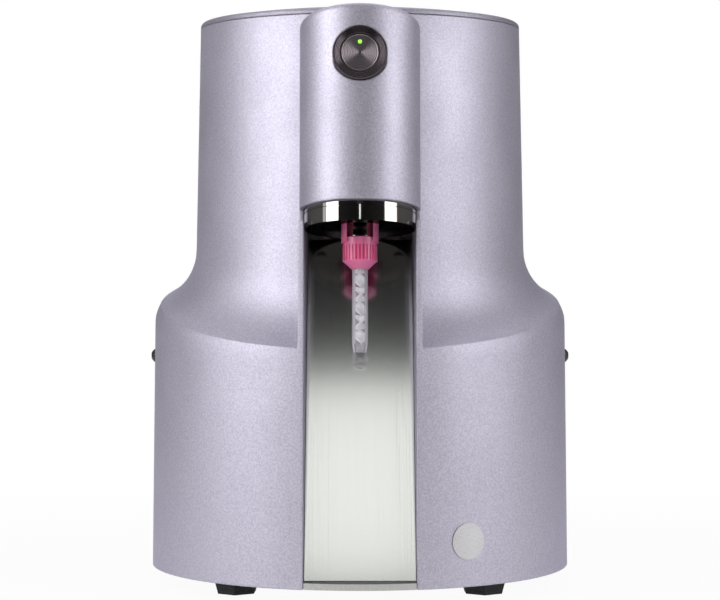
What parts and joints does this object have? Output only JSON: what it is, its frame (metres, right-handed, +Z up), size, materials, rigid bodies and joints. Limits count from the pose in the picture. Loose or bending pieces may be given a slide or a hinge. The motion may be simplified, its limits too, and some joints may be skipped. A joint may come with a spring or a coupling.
{
  "type": "silicone dispensing machine",
  "caption": "Bench silicone dispenser: round silver housing with a sloping hinged lid, a round button head over a polished outlet ring and a pink static mixer above a steel splash panel.",
  "frame": {"origin": "on the table under the middle of the machine's outline", "axes": "+Z up, -Y out of the front towards the user, +X to the user's right"},
  "size_m": [0.2308, 0.2294, 0.3373],
  "materials": {
    "silver_paint": "metallic silver paint",
    "lid_paint": "metallic silver paint",
    "dark_paint": "dark grey powder coat",
    "brushed_steel": "vertical brushed grain",
    "zinc_steel": "zinc plated",
    "chrome": "polished",
    "black_rubber": "matt",
    "black_screw": "black oxide",
    "pink_plastic": "moulded",
    "clear_plastic": "clear",
    "white_plastic": "moulded",
    "bezel_black": "gloss black",
    "button_black": "satin black",
    "led_green": "lit lens",
    "black_plastic": "moulded",
    "aluminium": "machined",
    "brass": "turned",
    "bottle_blue": "moulded",
    "bottle_white": "moulded",
    "hose_clear": "flexible tube",
    "board_green": "circuit board",
    "plate_silver": "satin blank"
  },
  "bodies": {
    "machine": {"housing": "silver_paint", "base_plate": "dark_paint", "feet": "black_rubber", "foot_screws": "zinc_steel", "side_screws": "black_screw", "side_brackets": "zinc_steel", "splash_panel": "brushed_steel", "head_cover": "silver_paint", "lid_hinge_bracket": "dark_paint", "lid_hinge_pin": "zinc_steel", "outlet_flange": "chrome", "plate_screws": "zinc_steel", "outlet_nose": "chrome", "button_bezel": "bezel_black", "button_switch": "black_plastic", "button_nut": "zinc_steel", "spine_frame": "zinc_steel", "head_arm": "zinc_steel", "outlet_block": "aluminium", "arm_screws": "zinc_steel", "bottle_deck": "aluminium", "deck_posts": "aluminium", "bottle_sockets": "black_plastic", "feed_tubes": "hose_clear", "bottle_a": "bottle_blue", "bottle_b": "bottle_white", "drive_plate": "aluminium", "motor_case": "dark_paint", "motor_standoffs": "aluminium", "pump_body_a": "aluminium", "pump_cover_a": "aluminium", "pump_body_b": "aluminium", "pump_cover_b": "aluminium", "pump_screws": "black_screw", "hoses": "hose_clear", "rear_panel": "dark_paint", "rear_screws": "black_screw", "inlet_socket": "black_plastic", "inlet_pins": "brass", "rocker_frame": "black_plastic", "power_supply": "zinc_steel", "control_board": "board_green", "badge_plate": "plate_silver"},
    "lid_body": {"lid": "lid_paint"},
    "button": {"button_cap": "button_black", "button_led": "led_green"},
    "mixer": {"mixer_collar": "pink_plastic", "mixer_tube": "clear_plastic", "mixer_element": "white_plastic"},
    "rocker": {"power_rocker": "black_plastic"},
    "motor_rotor": {"drive_pinion": "brass"},
    "pump_a_drive": {"drive_wheel_a": "brass", "pump_gear_a": "zinc_steel"},
    "pump_b_drive": {"drive_wheel_b": "brass", "pump_gear_b": "zinc_steel"},
    "pump_a_idler": {"pump_idler_a": "zinc_steel"},
    "pump_b_idler": {"pump_idler_b": "zinc_steel"}
  },
  "joints": [
    {"name": "lid_hinge", "type": "hinge", "parent": "machine", "child": "lid_body", "pos_m": [0, 0.1107, 0.32971], "axis": [-1, 0, 0], "range_deg": [0, 80]},
    {"name": "button_press", "type": "slide", "parent": "machine", "child": "button", "axis": [0, 1, 0], "range_m": [0, 0.0015], "stiffness_N_per_m": 400},
    {"name": "mixer_twist", "type": "hinge", "parent": "machine", "child": "mixer", "pos_m": [0, -0.0847, 0.17], "axis": [0, 0, 1], "range_deg": [0, 90]},
    {"name": "power_rocker_tilt", "type": "hinge", "parent": "machine", "child": "rocker", "pos_m": [0.04, 0.1112, 0.045], "axis": [1, 0, 0], "range_deg": [0, 16]},
    {"name": "motor_spin", "type": "hinge", "parent": "machine", "child": "motor_rotor", "pos_m": [0, 0.0197, 0.104], "axis": [0, 0, 1], "continuous": true},
    {"name": "pump_a_spin", "type": "hinge", "parent": "machine", "child": "pump_a_drive", "pos_m": [-0.039, 0.0197, 0.104], "axis": [0, 0, 1], "continuous": true},
    {"name": "pump_b_spin", "type": "hinge", "parent": "machine", "child": "pump_b_drive", "pos_m": [0.039, 0.0197, 0.104], "axis": [0, 0, 1], "continuous": true},
    {"name": "pump_a_idler_spin", "type": "hinge", "parent": "machine", "child": "pump_a_idler", "pos_m": [-0.039, 0.0397, 0.136], "axis": [0, 0, 1], "continuous": true},
    {"name": "pump_b_idler_spin", "type": "hinge", "parent": "machine", "child": "pump_b_idler", "pos_m": [0.039, 0.0397, 0.136], "axis": [0, 0, 1], "continuous": true}
  ],
  "couplings": [
    {"joint": "motor_spin", "follows": "pump_a_spin", "ratio": -2.25},
    {"joint": "pump_b_spin", "follows": "pump_a_spin", "ratio": 1},
    {"joint": "pump_a_idler_spin", "follows": "pump_a_spin", "ratio": -1},
    {"joint": "pump_b_idler_spin", "follows": "pump_a_spin", "ratio": -1}
  ]
}
